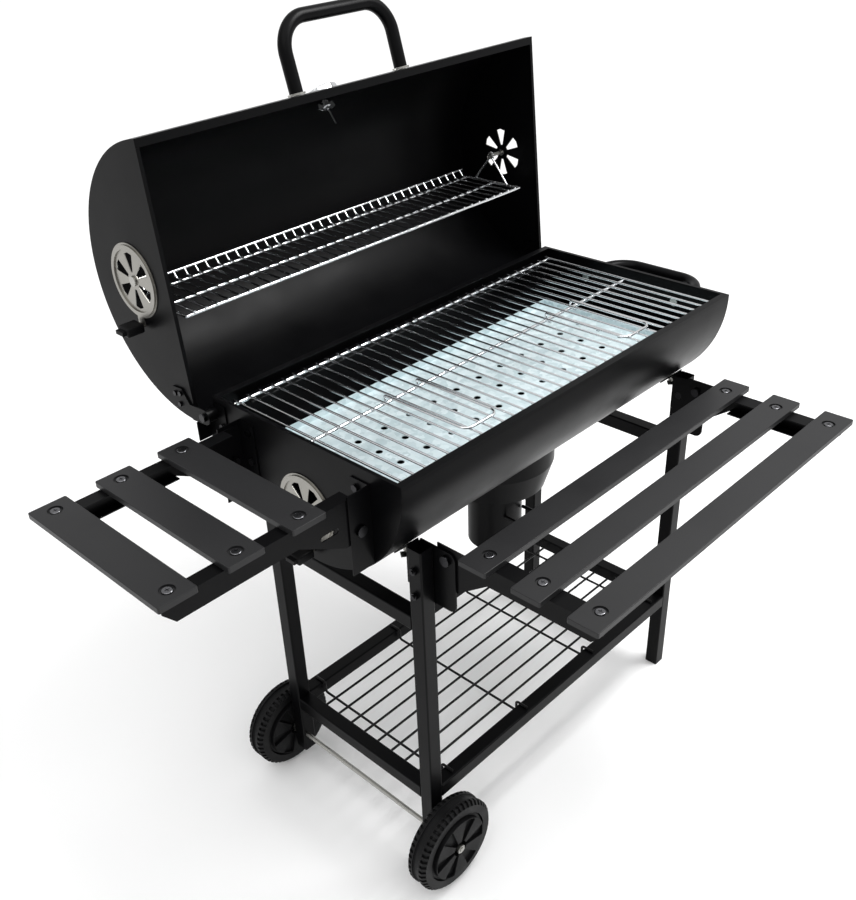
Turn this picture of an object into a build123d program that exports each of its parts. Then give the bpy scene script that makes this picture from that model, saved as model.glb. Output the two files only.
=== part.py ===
from build123d import *
import math
import os

# ---------------------------------------------------------------------------
# Barrel charcoal barbecue on a four-leg trolley: a half-barrel bowl, a hinged
# half-barrel lid standing open, two slatted shelves that fold down, and two
# wheels at the left end.  Millimetres, +Z up, +X along the barrel to the
# right, front of the barbecue towards -Y.
# ---------------------------------------------------------------------------

# Bowl: lower half-barrel of folded sheet with a flat inward lip at the rim
BOWL_HALF_X = 385.0
BOWL_R = 190.0
RIM_Z = 775.0
RIM_STRAIGHT = 6.0
BOWL_CZ = RIM_Z - RIM_STRAIGHT
SHEET = 1.2
BOWL_LIP = 12.0
BOWL_END_LIP = 6.0
SEAM = 0.3

# Lid: a slightly larger half-barrel cap that closes over the bowl
LID_HALF_X = 404.0
LID_R = 200.0
LID_GAP = 1.0
LID_BASE_Z = RIM_Z + LID_GAP
LID_CZ = LID_BASE_Z - 12.0
LID_LIP = 12.0
LID_END_LIP = 6.0
LID_OPEN_DEG = 95.0
HINGE_Y = 186.0
HINGE_Z = 750.0

# Trolley frame of square tube
TUBE = 25.0
TUBE_WALL = 1.5
LEG_X = 326.0
LEG_Y = 158.0
LEG_TOP = 640.0
LEFT_LEG_BOTTOM = 52.0
CAP_SOLE = 4.0
LOW_RAIL_Z = 150.0
HIGH_RAIL_Z = 496.0

# Wheels and axle at the left end
WHEEL_R = 84.0
WHEEL_W = 38.0
WHEEL_OUT_Y = 217.0
AXLE_X = -331.0
AXLE_R = 4.0
HUB_CLEAR = 0.06

# Side shelf: three slats along Y on two arms hinged to the left bowl end
SIDE_TOP = 760.0
SIDE_HALF_Y = 141.0
SIDE_SLAT_X = (-681.0, -586.0, -491.0)
SIDE_SLAT_W = 53.0
SIDE_PIVOT_X = -406.0
SIDE_PIVOT_Z = 698.0

# Front shelf: three long slats along X on two arms hinged to the front legs
FRONT_TOP = 655.0
FRONT_HALF_X = 330.0
FRONT_SLAT_Y = (-252.0, -339.0, -425.0)
FRONT_SLAT_W = 46.0
FRONT_PIVOT_Y = -193.0
FRONT_PIVOT_Z = 627.0
FRONT_BOLT_Z = (FRONT_PIVOT_Z - 20, FRONT_PIVOT_Z - 62)

SLAT_DROP = 8.0
SLAT_SHEET = 1.5
DISH_R = 10.0
DISH_DEPTH = 2.6
SLAT_SCREW_R = 6.8
SLAT_SCREW_H = 2.2
ARM_SHEET = 2.0
ARM_DEPTH = 30.0
ARM_FLANGE = 22.0

# Cooking grates, charcoal pan and warming rack
GRATE_TOP = 766.0
GRATE_HALF_X = 368.0
GRATE_HALF_Y = 172.0
GRATE_SPLIT = 3.0
GRATE_WIRE_R = 1.75
GRATE_ROD_R = 3.0
GRATE_PITCH = 22.0
PAN_Z = 688.0
PAN_HALF_X = 328.0
PAN_HALF_Y = 145.0
PAN_HOLE_R = 5.5
PAN_PITCH_X = 54.0
PAN_PITCH_Y = 44.0
RACK_PIVOT_Y = 0.0
RACK_PIVOT_Z = 859.0
RACK_DROP = 48.0
RACK_HALF_X = 366.0
RACK_HALF_Y = 67.0
RACK_FENCE = 10.0
RACK_SPACES = 36
HANG_X = RACK_HALF_X + 6.0
RACK_WIRE_R = 1.6
RACK_ROD_R = 2.5

# Air dampers: slotted discs turning on the lid ends and the left bowl end
DAMPER_R = 55.0
DAMPER_T = 1.2
DAMPER_BLADES = 6
BOWL_DAMPER_Z = 662.0

# Bent tube handles on the lid front and on the right bowl end
HANDLE_TUBE_R = 10.5
HANDLE_HALF = 108.0
HANDLE_REACH = 104.0
HANDLE_BEND = 48.0

# Ash catcher hanging under the bowl
ASH_X = 15.0
ASH_TUBE_R = 46.0
ASH_COLLAR_R = 98.0
ASH_HOLE_R = 84.0

os.makedirs("parts", exist_ok=True)
nodes = {}


def block(x0, x1, y0, y1, z0, z1):
    """Axis-aligned box between two corners."""
    box = Box(abs(x1 - x0), abs(y1 - y0), abs(z1 - z0))
    return Pos((x0 + x1) / 2, (y0 + y1) / 2, (z0 + z1) / 2) * box


def rod(p, q, r):
    """Round bar from point p to point q."""
    a = Vector(*p)
    b = Vector(*q)
    axis = b - a
    return Plane(origin=a, z_dir=axis) * Pos(0, 0, axis.length / 2) * Cylinder(r, axis.length)


def disc_x(x0, x1, y, z, r):
    """Round slug lying along X."""
    return rod((x0, y, z), (x1, y, z), r)


def disc_y(x, y0, y1, z, r):
    """Round slug lying along Y."""
    return rod((x, y0, z), (x, y1, z), r)


def disc_z(x, y, z0, z1, r):
    """Round slug standing along Z."""
    return rod((x, y, z0), (x, y, z1), r)


def bent_bar(points, bend, r, bore=0.0):
    """Round bar or tube following straight runs joined by bends."""
    path = FilletPolyline(*points, radius=bend)
    start = Plane(origin=path @ 0, z_dir=path % 0)
    bar = sweep(start * Circle(r), path=path)
    if bore > 0:
        bar -= sweep(start * Circle(bore), path=path)
    return bar


def join(first, rest):
    """One solid from a first piece and everything welded to it."""
    return first.fuse(*rest)


def mirror_x(shape):
    return shape.mirror(Plane.YZ)


def mirror_y(shape):
    return shape.mirror(Plane.XZ)


def open_lid(shape):
    """Carry a lid piece from its closed place to the open one."""
    hinge = Axis((0, HINGE_Y, HINGE_Z), (1, 0, 0))
    return shape.rotate(hinge, -LID_OPEN_DEG)


def opened(y, z):
    """Where a lid point sits once the lid is open."""
    a = math.radians(-LID_OPEN_DEG)
    dy = y - HINGE_Y
    dz = z - HINGE_Z
    return (
        HINGE_Y + dy * math.cos(a) - dz * math.sin(a),
        HINGE_Z + dy * math.sin(a) + dz * math.cos(a),
    )


def half_round(r, centre_z, cut_z, x0, x1, below):
    """Solid half-barrel of radius r kept below or above the level cut_z."""
    log = disc_x(x0, x1, 0, centre_z, r)
    big = 2 * r + 100
    if below:
        return log & block(x0 - 1, x1 + 1, -big, big, cut_z - big, cut_z)
    return log & block(x0 - 1, x1 + 1, -big, big, cut_z, cut_z + big)


def screw_head(x, y, z, r=6.0, h=3.0):
    """Low domed screw head sitting on a level face."""
    head = disc_z(x, y, z, z + h, r)
    top = head.edges().group_by(Axis.Z)[-1]
    head = fillet(top, h * 0.6)
    slot = block(x - 3.2, x + 3.2, y - 0.6, y + 0.6, z + h - 1.2, z + h + 1)
    cross = block(x - 0.6, x + 0.6, y - 3.2, y + 3.2, z + h - 1.2, z + h + 1)
    return head - slot - cross


def hex_bolt_x(x, y, z, out, head=4.0, across=10.0, shank=8.0, r=3.0):
    """Hex bolt along X: head outside the face at x, shank running inwards."""
    hexagon = RegularPolygon(across / 2, 6, major_radius=False)
    prism = Plane(origin=(x, y, z), z_dir=(out, 0, 0)) * extrude(hexagon, head)
    return prism.fuse(disc_x(x, x - out * shank, y, z, r))


# ---------------------------------------------------------------------------
# Bowl: rolled sheet shell, two pressed end plates, all with an inward rim lip
# ---------------------------------------------------------------------------
end_face_x = BOWL_HALF_X - SHEET
outer = half_round(BOWL_R, BOWL_CZ, BOWL_CZ, -end_face_x + SEAM, end_face_x - SEAM, True)
outer = outer.fuse(block(-end_face_x + SEAM, end_face_x - SEAM, -BOWL_R, BOWL_R, BOWL_CZ, RIM_Z))
inner = half_round(BOWL_R - SHEET, BOWL_CZ, BOWL_CZ, -BOWL_HALF_X, BOWL_HALF_X, True)
inner = inner.fuse(block(-BOWL_HALF_X, BOWL_HALF_X, -BOWL_R + SHEET, BOWL_R - SHEET, BOWL_CZ, RIM_Z - SHEET))
mouth_y = BOWL_R - BOWL_LIP
mouth = block(-BOWL_HALF_X, BOWL_HALF_X, -mouth_y, mouth_y, RIM_Z - 10, RIM_Z + 5)
bowl_shell = outer - inner - mouth
ash_hole = disc_z(ASH_X, 0, BOWL_CZ - BOWL_R - 20, BOWL_CZ - BOWL_R + 40, ASH_HOLE_R)
bowl_shell -= ash_hole

# Bolt holes where the four saddles hold the shell
SADDLE_Y = 130.0
saddle_dz = math.sqrt(BOWL_R ** 2 - SADDLE_Y ** 2)


def saddle_frame(sx, sy):
    """Plane on the outside of the bowl at a saddle, Z pointing outwards."""
    origin = (sx * LEG_X, sy * SADDLE_Y, BOWL_CZ - saddle_dz)
    outwards = (0, sy * SADDLE_Y / BOWL_R, -saddle_dz / BOWL_R)
    return Plane(origin=origin, x_dir=(1, 0, 0), z_dir=outwards)


corners = [(-1, -1), (-1, 1), (1, -1), (1, 1)]
for sx, sy in corners:
    bowl_shell -= saddle_frame(sx, sy) * Cylinder(3.2, 12)
nodes["bowl_shell"] = bowl_shell


def bowl_end():
    """Left end plate: a half-round plate with a lip turned inwards at the top."""
    plate = half_round(BOWL_R, BOWL_CZ, BOWL_CZ, -BOWL_HALF_X, -end_face_x, True)
    plate = plate.fuse(block(-BOWL_HALF_X, -end_face_x, -BOWL_R, BOWL_R, BOWL_CZ, RIM_Z))
    lip_y = mouth_y - SEAM
    lip = block(-BOWL_HALF_X, -BOWL_HALF_X + BOWL_END_LIP, -lip_y, lip_y, RIM_Z - SHEET, RIM_Z)
    return plate.fuse(lip)


BLADE_INNER = 13.0
BLADE_OUTER = 40.0
BLADE_HALF_DEG = 14.0


def blade_cut(x0, x1, cy, cz, turn):
    """The six wedge openings of a damper, cut along X."""
    cuts = []
    for k in range(DAMPER_BLADES):
        a = math.radians(turn + 360 / DAMPER_BLADES * k)
        w = math.radians(BLADE_HALF_DEG)
        pts = []
        for rr, aa in (
            (BLADE_INNER, a - w * 0.8),
            (BLADE_OUTER, a - w),
            (BLADE_OUTER + 1.5, a),
            (BLADE_OUTER, a + w),
            (BLADE_INNER, a + w * 0.8),
        ):
            pts.append((cy + rr * math.cos(aa), cz + rr * math.sin(aa)))
        face = Plane(origin=(x0, 0, 0), x_dir=(0, 1, 0), z_dir=(1, 0, 0)) * make_face(Polyline(*pts, close=True))
        cuts.append(extrude(face, x1 - x0))
    return cuts


bowl_end_left = bowl_end()
for cut in blade_cut(-BOWL_HALF_X - 2, -end_face_x + 2, 0, BOWL_DAMPER_Z, 0):
    bowl_end_left -= cut
bowl_end_left -= disc_x(-BOWL_HALF_X - 2, -end_face_x + 2, 0, BOWL_DAMPER_Z, 3.1)
bowl_end_right = mirror_x(bowl_end())

# ---------------------------------------------------------------------------
# Lid, modelled closed and then turned open about its hinge
# ---------------------------------------------------------------------------
lid_face_x = LID_HALF_X - SHEET
lid_outer = half_round(LID_R, LID_CZ, LID_BASE_Z, -lid_face_x + SEAM, lid_face_x - SEAM, False)
lid_inner = half_round(LID_R - SHEET, LID_CZ, LID_BASE_Z + SHEET, -LID_HALF_X, LID_HALF_X, False)
lid_edge_y = math.sqrt(LID_R ** 2 - (LID_BASE_Z - LID_CZ) ** 2)
lid_mouth_y = lid_edge_y - LID_LIP
lid_mouth = block(-LID_HALF_X, LID_HALF_X, -lid_mouth_y, lid_mouth_y, LID_BASE_Z - 5, LID_BASE_Z + 5)
lid_shell = lid_outer - lid_inner - lid_mouth


def lid_end():
    """Left lid end plate with its lip turned inwards along the mouth."""
    plate = half_round(LID_R, LID_CZ, LID_BASE_Z, -LID_HALF_X, -lid_face_x, False)
    lip_y = lid_mouth_y - SEAM
    lip = block(-LID_HALF_X, -LID_HALF_X + LID_END_LIP, -lip_y, lip_y, LID_BASE_Z, LID_BASE_Z + SHEET)
    return plate.fuse(lip)


lid_end_left = lid_end()
for cut in blade_cut(-LID_HALF_X - 2, -lid_face_x + 2, RACK_PIVOT_Y, RACK_PIVOT_Z, 0):
    lid_end_left -= cut
lid_end_left -= disc_x(-LID_HALF_X - 2, -lid_face_x + 2, RACK_PIVOT_Y, RACK_PIVOT_Z, 3.1)
lid_end_right = mirror_x(lid_end_left)

# Handle of bent tube standing square off the front of the lid shell
HANDLE_LIFT_DEG = 11.0
ha = math.radians(HANDLE_LIFT_DEG)


def lid_radial(dist, x=0.0, side=0.0):
    """Point at a distance from the lid axis in the handle's plane."""
    return (
        x,
        -dist * math.cos(ha) + side * math.sin(ha),
        LID_CZ + dist * math.sin(ha) + side * math.cos(ha),
    )


handle_in = LID_R + 3.4
handle_out = LID_R + HANDLE_REACH
handle_points = [
    lid_radial(handle_in, -HANDLE_HALF),
    lid_radial(handle_out, -HANDLE_HALF),
    lid_radial(handle_out, HANDLE_HALF),
    lid_radial(handle_in, HANDLE_HALF),
]
lid_handle = bent_bar(handle_points, HANDLE_BEND, HANDLE_TUBE_R, HANDLE_TUBE_R - 1.5)

# Each handle foot stands on a cup washer and is bolted from inside the lid
lid_handle_bolts = []
lid_handle_feet = []
for sx in (-1, 1):
    x = sx * HANDLE_HALF
    foot_inner = lid_radial(LID_R + 0.3, x)
    foot_outer = lid_radial(handle_in - 0.3, x)
    lid_handle_feet.append(rod(foot_inner, foot_outer, HANDLE_TUBE_R + 3))
    bolt = rod(lid_radial(LID_R - SHEET - 5, x), lid_radial(LID_R - SHEET - 0.3, x), 7)
    bolt = bolt.fuse(rod(lid_radial(LID_R - SHEET - 5, x), lid_radial(handle_in + 14, x), 3))
    lid_handle_bolts.append(bolt)
    hole = rod(lid_radial(LID_R - 8, x), lid_radial(LID_R + 8, x), 3.3)
    lid_shell -= hole
    lid_handle_feet[-1] -= rod(lid_radial(LID_R - 8, x), lid_radial(LID_R + 8, x), 3.3)
    plug = rod(lid_radial(handle_in + 4, x), lid_radial(handle_in + 12, x), HANDLE_TUBE_R - 1.8)
    lid_handle_bolts[-1] = lid_handle_bolts[-1].fuse(plug)

# Thermometer through the front of the lid
THERMO_DEG = 33.0
ta = math.radians(THERMO_DEG)
thermo_out = (0, -math.cos(ta), math.sin(ta))


def thermo_point(dist):
    return (0, dist * thermo_out[1], LID_CZ + dist * thermo_out[2])


thermo_plane = Plane(origin=thermo_point(LID_R + 1.2), x_dir=(1, 0, 0), z_dir=thermo_out)
THERMO_R = 30.0
THERMO_H = 12.0
thermo_case = thermo_plane * Pos(0, 0, THERMO_H / 2) * Cylinder(THERMO_R, THERMO_H)
thermo_case = fillet(thermo_case.edges().filter_by(GeomType.CIRCLE), 2.0)
thermo_case -= thermo_plane * Pos(0, 0, THERMO_H / 2 + 3) * Cylinder(THERMO_R - 3, THERMO_H)
thermo_dial = thermo_plane * Pos(0, 0, 3.9) * Cylinder(THERMO_R - 3.3, 1.0)
needle = Box(2.2, 34, 0.8) + Pos(0, 0, 0.4) * Cylinder(3.5, 1.6)
thermo_needle = thermo_plane * Pos(0, 0, 5.4) * Rot(0, 0, 40) * needle
thermo_lens = thermo_plane * Pos(0, 0, THERMO_H - 2.4) * Cylinder(THERMO_R - 3.3, 1.6)
thermo_probe = rod(thermo_point(LID_R - 42), thermo_point(LID_R + 3.2), 1.8)
thermo_probe = thermo_probe.fuse(rod(thermo_point(LID_R - 16), thermo_point(LID_R + 0.9), 3.6))
thermo_case -= rod(thermo_point(LID_R - 2), thermo_point(LID_R + 5), 3.9)
lid_shell -= rod(thermo_point(LID_R - 8), thermo_point(LID_R + 8), 3.9)
nut_plane = Plane(origin=thermo_point(LID_R - SHEET - 2.1), x_dir=(1, 0, 0), z_dir=(0, -thermo_out[1], -thermo_out[2]))
wing = Pos(0, 0, 4) * Cylinder(6.5, 8)
for s in (-1, 1):
    blade = Pos(s * 10, 0, 7.5) * Rot(0, s * 22, 0) * Box(13, 2.0, 9)
    wing = wing.fuse(blade)
thermo_wing_nut = nut_plane * (wing - Cylinder(3.7, 40))

# Hinge leaves on the lid ends and brackets on the bowl ends
LEAF_T = 2.5
LEAF_W = 24.0
leaf_x = LID_HALF_X + 0.3
leaf_plane = Plane(origin=(-leaf_x - LEAF_T, 0, 0), x_dir=(0, 1, 0), z_dir=(1, 0, 0))
leaf_outline = make_face(
    Polyline(
        (HINGE_Y - 12, HINGE_Z),
        (HINGE_Y - 12, LID_BASE_Z + 6),
        (HINGE_Y - 34, LID_BASE_Z + 20),
        (HINGE_Y - 34, LID_BASE_Z + 42),
        (HINGE_Y - 6, LID_BASE_Z + 42),
        (HINGE_Y + 12, LID_BASE_Z + 4),
        (HINGE_Y + 12, HINGE_Z),
        close=True,
    )
)
hinge_leaf = extrude(leaf_plane * leaf_outline, LEAF_T)
hinge_leaf = hinge_leaf.fuse(disc_x(-leaf_x - LEAF_T, -leaf_x, HINGE_Y, HINGE_Z, 12))
hinge_leaf -= disc_x(-leaf_x - 6, -leaf_x + 6, HINGE_Y, HINGE_Z, 4.06)
LEAF_SCREWS = ((HINGE_Y - 26, LID_BASE_Z + 24), (HINGE_Y - 24, LID_BASE_Z + 37), (HINGE_Y - 8, LID_BASE_Z + 30))
leaf_screws = []
for sy, sz in LEAF_SCREWS:
    hinge_leaf -= disc_x(-leaf_x - 6, -leaf_x + 6, sy, sz, 2.3)
    lid_end_left -= disc_x(-LID_HALF_X - 6, -LID_HALF_X + 6, sy, sz, 2.3)
    lid_end_right -= disc_x(LID_HALF_X - 6, LID_HALF_X + 6, sy, sz, 2.3)
    leaf_screws.append(
        hex_bolt_x(-leaf_x - LEAF_T - 0.2, sy, sz, -1, 2.6, 7.0, 9.0, 2.0)
    )

nodes["lid_shell"] = open_lid(lid_shell)
nodes["lid_end_left"] = open_lid(lid_end_left)
nodes["lid_end_right"] = open_lid(lid_end_right)
nodes["lid_handle"] = open_lid(lid_handle)
nodes["lid_handle_fixings"] = open_lid(Compound(children=lid_handle_feet + lid_handle_bolts))
nodes["thermometer_case"] = open_lid(thermo_case)
nodes["thermometer_dial"] = open_lid(Compound(children=[thermo_dial, thermo_needle]))
nodes["thermometer_lens"] = open_lid(thermo_lens)
nodes["thermometer_probe"] = open_lid(thermo_probe)
nodes["thermometer_wing_nut"] = open_lid(thermo_wing_nut)
nodes["lid_hinge_leaves"] = open_lid(Compound(children=[hinge_leaf, mirror_x(hinge_leaf)]))
all_leaf_screws = leaf_screws + [mirror_x(s) for s in leaf_screws]
nodes["lid_hinge_screws"] = open_lid(Compound(children=all_leaf_screws))

# Bowl-side hinge brackets with a boss for the pivot and a stop below the leaf
STOP_TOP = HINGE_Z - 14.2
bracket_x = BOWL_HALF_X + 0.3
stop_x = leaf_x + LEAF_T + 2
hinge_bracket = block(-bracket_x - 2, -bracket_x, HINGE_Y - 24, HINGE_Y + 2, HINGE_Z - 45, HINGE_Z + 16)
hinge_bracket = hinge_bracket.fuse(
    disc_x(-LID_HALF_X, -bracket_x, HINGE_Y, HINGE_Z, 10),
    block(-bracket_x - 2, -bracket_x, HINGE_Y, HINGE_Y + 20, HINGE_Z - 45, STOP_TOP),
    block(-stop_x, -bracket_x, HINGE_Y + 18, HINGE_Y + 20, HINGE_Z - 45, STOP_TOP),
)
hinge_bracket -= disc_x(-stop_x, -380, HINGE_Y, HINGE_Z, 4.06)
bracket_screws = []
for sy, sz in ((HINGE_Y - 16, HINGE_Z - 18), (HINGE_Y - 16, HINGE_Z - 36)):
    hinge_bracket -= disc_x(-420, -380, sy, sz, 3.2)
    bowl_end_left -= disc_x(-BOWL_HALF_X - 6, -BOWL_HALF_X + 6, sy, sz, 3.2)
    bowl_end_right -= disc_x(BOWL_HALF_X - 6, BOWL_HALF_X + 6, sy, sz, 3.2)
    bracket_screws.append(hex_bolt_x(-bracket_x - 2.2, sy, sz, -1, 4.0, 9.0, 8.0, 2.9))
pivot_bolt = disc_x(-leaf_x - LEAF_T - 0.3, -bracket_x - 0.3, HINGE_Y, HINGE_Z, 4.0)
pivot_bolt = pivot_bolt.fuse(hex_bolt_x(-leaf_x - LEAF_T - 0.3, HINGE_Y, HINGE_Z, -1, 4.5, 12.0, 1.0, 4.0))
nodes["hinge_brackets"] = Compound(children=[hinge_bracket, mirror_x(hinge_bracket)])
hinge_bolts = bracket_screws + [pivot_bolt]
nodes["hinge_bolts"] = Compound(children=hinge_bolts + [mirror_x(b) for b in hinge_bolts])


# ---------------------------------------------------------------------------
# Air dampers: slotted disc, bent tab with a plastic grip, and a hollow rivet
# ---------------------------------------------------------------------------
def damper(face_x, cy, cz, tab_deg):
    """Damper on a left-hand end plate whose outer face is at face_x."""
    back = face_x - SEAM
    front = back - DAMPER_T
    disc = disc_x(front, back, cy, cz, DAMPER_R)
    bead = disc_x(front - 2.2, front + 0.1, cy, cz, DAMPER_R - 3) - disc_x(front - 5, front + 5, cy, cz, DAMPER_R - 9)
    disc = disc.fuse(bead)
    ta_ = math.radians(tab_deg)

    def at(r, side=0.0):
        y = cy + r * math.cos(ta_) - side * math.sin(ta_)
        z = cz + r * math.sin(ta_) + side * math.cos(ta_)
        return y, z

    spin = Axis((0, cy, cz), (1, 0, 0))
    tab = block(front, back, cy + DAMPER_R - 6, cy + DAMPER_R + 13, cz - 8, cz + 8)
    stem = block(front - 16, back, cy + DAMPER_R + 11.5, cy + DAMPER_R + 13, cz - 8, cz + 8)
    grip = block(front - 33, front - 4, cy + DAMPER_R + 5, cy + DAMPER_R + 19, cz - 13, cz + 13)
    grip = fillet(grip.edges().filter_by(Axis.X), 3.0)
    slot = block(front - 16.3, front, cy + DAMPER_R + 11.2, cy + DAMPER_R + 13.3, cz - 8.3, cz + 8.3)
    grip -= slot
    disc = disc.fuse(tab.fuse(stem).rotate(spin, tab_deg))
    grip = grip.rotate(spin, tab_deg)
    for cut in blade_cut(front - 5, back + 5, cy, cz, 0):
        disc -= cut
    disc -= disc_x(front - 5, back + 5, cy, cz, 3.1)
    inside = face_x + SHEET + SEAM
    rivet = disc_x(front - 0.3, inside, cy, cz, 3.0)
    rivet = rivet.fuse(disc_x(front - 2.8, front - 0.3, cy, cz, 7.5), disc_x(inside, inside + 2, cy, cz, 6))
    return disc, grip, rivet


disc, grip, rivet = damper(-LID_HALF_X, RACK_PIVOT_Y, RACK_PIVOT_Z, 5)
nodes["lid_damper_left_disc"] = open_lid(disc)
nodes["lid_damper_left_grip"] = open_lid(grip)
nodes["lid_damper_right_disc"] = open_lid(mirror_x(disc))
nodes["lid_damper_right_grip"] = open_lid(mirror_x(grip))

# The lid damper rivets run on inwards as the pins that carry the warming rack
pin_head_x = -HANG_X + 2.4
rivet = rivet.fuse(
    disc_x(-LID_HALF_X + SHEET, pin_head_x + 2, RACK_PIVOT_Y, RACK_PIVOT_Z, 3.0),
    disc_x(pin_head_x, pin_head_x + 2, RACK_PIVOT_Y, RACK_PIVOT_Z, 5.5),
)
nodes["lid_damper_rivets"] = open_lid(Compound(children=[rivet, mirror_x(rivet)]))
disc, grip, rivet = damper(-BOWL_HALF_X, 0, BOWL_DAMPER_Z, -90)
nodes["bowl_damper_disc"] = disc
nodes["bowl_damper_grip"] = grip
nodes["bowl_damper_rivet"] = rivet

# ---------------------------------------------------------------------------
# Trolley legs and rails
# ---------------------------------------------------------------------------
half = TUBE / 2


def tube_z(x, y, z0, z1):
    outer_tube = block(x - half, x + half, y - half, y + half, z0, z1)
    outer_tube = fillet(outer_tube.edges().filter_by(Axis.Z), 2.5)
    w = half - TUBE_WALL
    return outer_tube - block(x - w, x + w, y - w, y + w, z0 - 1, z1 + 1)


def tube_x(x0, x1, y, z0):
    outer_tube = block(x0, x1, y - half, y + half, z0, z0 + TUBE)
    outer_tube = fillet(outer_tube.edges().filter_by(Axis.X), 2.5)
    w = half - TUBE_WALL
    return outer_tube - block(x0 - 1, x1 + 1, y - w, y + w, z0 + TUBE_WALL, z0 + TUBE - TUBE_WALL)


def tube_y(x, y0, y1, z0):
    outer_tube = block(x - half, x + half, y0, y1, z0, z0 + TUBE)
    outer_tube = fillet(outer_tube.edges().filter_by(Axis.Y), 2.5)
    w = half - TUBE_WALL
    return outer_tube - block(x - w, x + w, y0 - 1, y1 + 1, z0 + TUBE_WALL, z0 + TUBE - TUBE_WALL)


legs = []
for sx, sy in corners:
    bottom = LEFT_LEG_BOTTOM if sx < 0 else CAP_SOLE
    leg = tube_z(sx * LEG_X, sy * LEG_Y, bottom, LEG_TOP)
    if sx < 0:
        leg -= disc_y(AXLE_X, sy * LEG_Y - 20, sy * LEG_Y + 20, WHEEL_R, AXLE_R + 0.2)
    if sy < 0:
        for bolt_z in FRONT_BOLT_Z:
            leg -= disc_x(sx * LEG_X - 20, sx * LEG_X + 20, -LEG_Y, bolt_z, 3.2)
    legs.append(leg)
nodes["legs"] = Compound(children=legs)

# Moulded caps close the open tube ends: soles on the right legs, plugs elsewhere
caps = []
plug_w = half - TUBE_WALL - SEAM
for sx, sy in corners:
    x, y = sx * LEG_X, sy * LEG_Y
    bottom = LEFT_LEG_BOTTOM if sx < 0 else CAP_SOLE
    sole = block(x - half, x + half, y - half, y + half, bottom - CAP_SOLE, bottom - SEAM)
    sole = fillet(sole.edges().filter_by(Axis.Z), 2.5)
    caps.append(sole.fuse(block(x - plug_w, x + plug_w, y - plug_w, y + plug_w, bottom - CAP_SOLE, bottom + 14)))
nodes["leg_end_caps"] = Compound(children=caps)

rail_x0 = -LEG_X + half + SEAM
rail_y0 = -LEG_Y + half + SEAM
long_rail = tube_x(rail_x0, -rail_x0, -LEG_Y, LOW_RAIL_Z)
nodes["long_rails"] = Compound(children=[long_rail, mirror_y(long_rail)])
cross_rails = []
for rail_z in (LOW_RAIL_Z, HIGH_RAIL_Z):
    cross_rail = tube_y(-LEG_X, rail_y0, -rail_y0, rail_z)
    cross_rails += [cross_rail, mirror_x(cross_rail)]
nodes["cross_rails"] = Compound(children=cross_rails)

# Saddles: strips bent to lie along the bowl and down the inner face of each leg
SADDLE_T = 2.5
SADDLE_W = 22.0
out_y = SADDLE_Y / BOWL_R
out_z = -saddle_dz / BOWL_R


def saddle_strip(x, sy):
    """Bent strip: tongue down the leg, plate square to the bowl's radius."""

    def on_plate(y, lift):
        base_y = SADDLE_Y + out_y * lift
        base_z = BOWL_CZ - saddle_dz + out_z * lift
        return (y, base_z + (y - base_y) * out_y / -out_z)

    leg_face = LEG_Y - half - SEAM
    foot = on_plate(SADDLE_Y - 12, SEAM)
    under = (foot[0] + out_y * SADDLE_T, foot[1] + out_z * SADDLE_T)
    outline = Polyline(
        foot,
        on_plate(leg_face, SEAM),
        (leg_face, LEG_TOP - 60),
        (leg_face - SADDLE_T, LEG_TOP - 60),
        on_plate(leg_face - SADDLE_T, SEAM + SADDLE_T),
        under,
        close=True,
    )
    side = Plane(origin=(x - SADDLE_W / 2, 0, 0), x_dir=(0, 1, 0), z_dir=(1, 0, 0))
    strip = extrude(side * make_face(outline), SADDLE_W)
    return strip if sy > 0 else mirror_y(strip)


saddle_parts = []
saddle_bolts = []
saddle_wings = []
for sx, sy in corners:
    frame = saddle_frame(sx, sy)
    saddle_parts.append(saddle_strip(sx * LEG_X, sy) - frame * Cylinder(3.3, 16))
    head = frame * Pos(0, 0, -SHEET - SEAM - 1.5) * Cylinder(6.5, 3)
    shank = frame * Pos(0, 0, 4.5) * Cylinder(3.0, 15.2)
    saddle_bolts.append(head.fuse(shank))
    nut = Pos(0, 0, 3.2 + 3.5) * Cylinder(6, 7)
    for s in (-1, 1):
        nut = nut.fuse(Pos(s * 9, 0, 3.2 + 7) * Rot(0, s * 22, 0) * Box(12, 2, 8))
    saddle_wings.append(frame * (nut - Cylinder(3.15, 60)))
nodes["bowl_saddles"] = Compound(children=saddle_parts)
nodes["saddle_fasteners"] = Compound(children=saddle_bolts + saddle_wings)

# ---------------------------------------------------------------------------
# Rests inside the bowl, charcoal pan, grates with their fold-down bails
# ---------------------------------------------------------------------------
rod_z = GRATE_TOP - 2 * GRATE_WIRE_R - GRATE_ROD_R + 0.6
ledge_top = rod_z - GRATE_ROD_R - 0.3
ledges = []
for sy in (-1, 1):
    shelf_leg = block(-340, 340, sy * 158, sy * 186, ledge_top - 1.5, ledge_top)
    ledges.append(shelf_leg.fuse(block(-340, 340, sy * 184.5, sy * 186, ledge_top - 14, ledge_top)))
pan_ledge_top = PAN_Z - 0.3
for sy in (-1, 1):
    shelf_leg = block(-300, 300, sy * 128, sy * 161, pan_ledge_top - 1.5, pan_ledge_top)
    ledges.append(shelf_leg.fuse(block(-300, 300, sy * 159.5, sy * 161, pan_ledge_top - 14, pan_ledge_top)))
nodes["bowl_ledges"] = Compound(children=ledges)

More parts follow.
